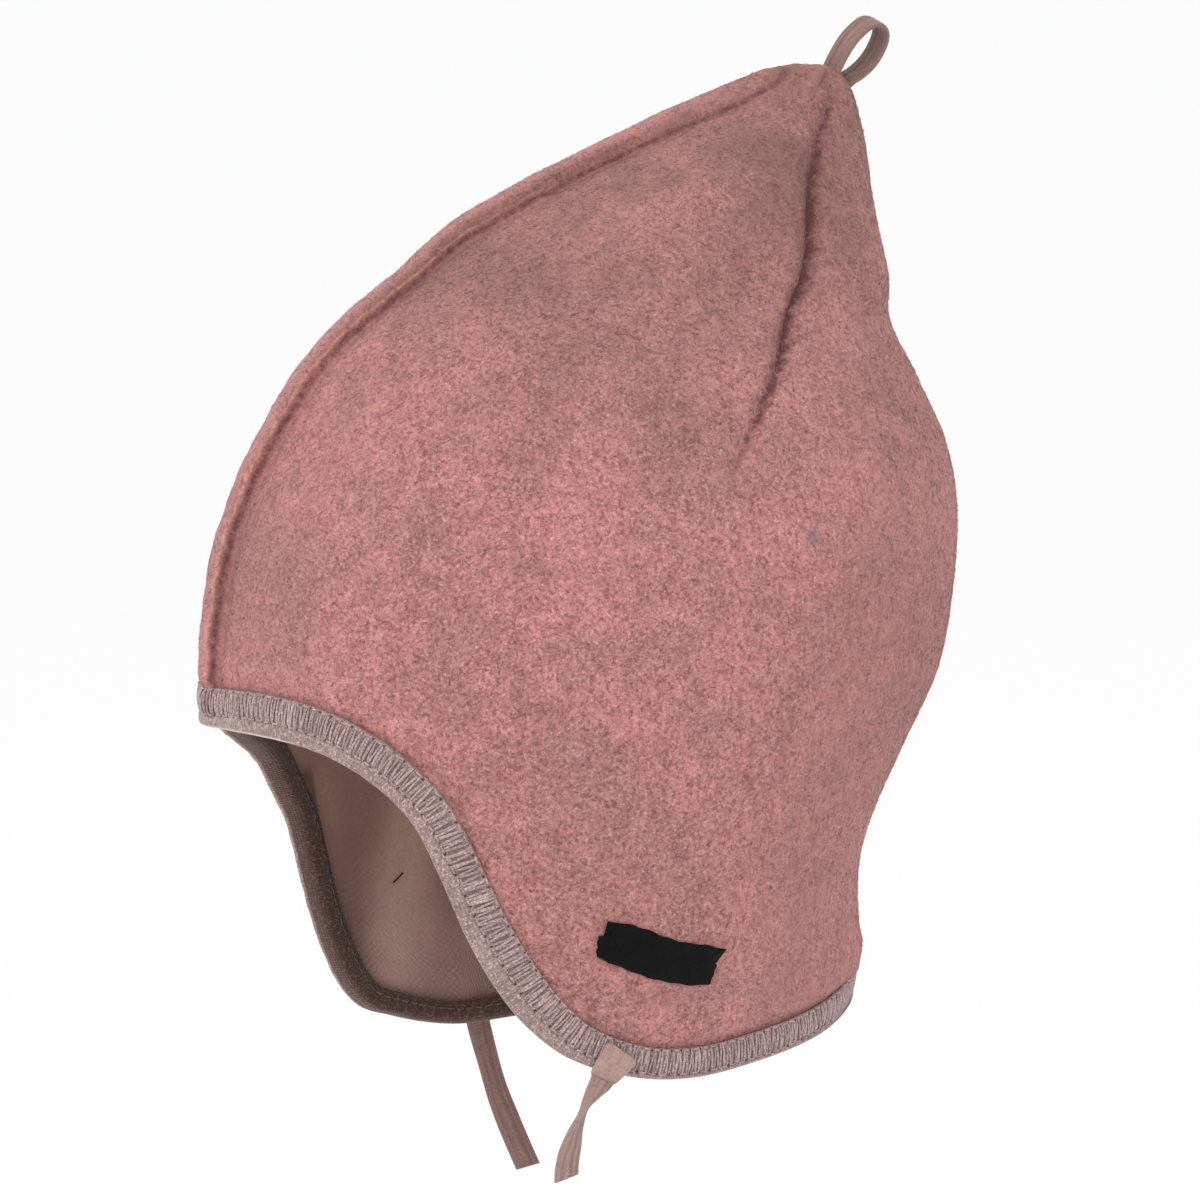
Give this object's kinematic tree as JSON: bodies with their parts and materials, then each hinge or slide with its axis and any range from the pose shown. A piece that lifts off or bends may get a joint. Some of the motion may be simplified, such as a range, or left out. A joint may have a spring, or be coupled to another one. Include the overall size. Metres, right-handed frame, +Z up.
{
  "type": "pixie bonnet",
  "caption": "Baby's pointed bonnet in wool fleece with a raised front seam, ear flaps, jersey lining, bound edge, short ties and a hanging loop.",
  "frame": {"origin": "where the crown of the head carries the bonnet, on its middle plane, under the slope of the point", "axes": "+Z up, the face looks along -Y, +X the wearer's left"},
  "size_m": [0.1356, 0.176, 0.2642],
  "materials": {
    "wool_fleece": "melange wool fleece, matt",
    "jersey_lining": "fine jersey knit, matt",
    "binding": "ribbed jersey strip, cover stitched",
    "tape": "folded jersey tape",
    "label": "black, fine grain, bare"
  },
  "bodies": {
    "root": {"outer_shell": "wool_fleece", "front_seam_welt": "wool_fleece", "lining": "jersey_lining", "edge_binding": "binding", "left_tie": "tape", "right_tie": "tape", "hanging_loop": "tape", "label": "label"}
  },
  "joints": []
}
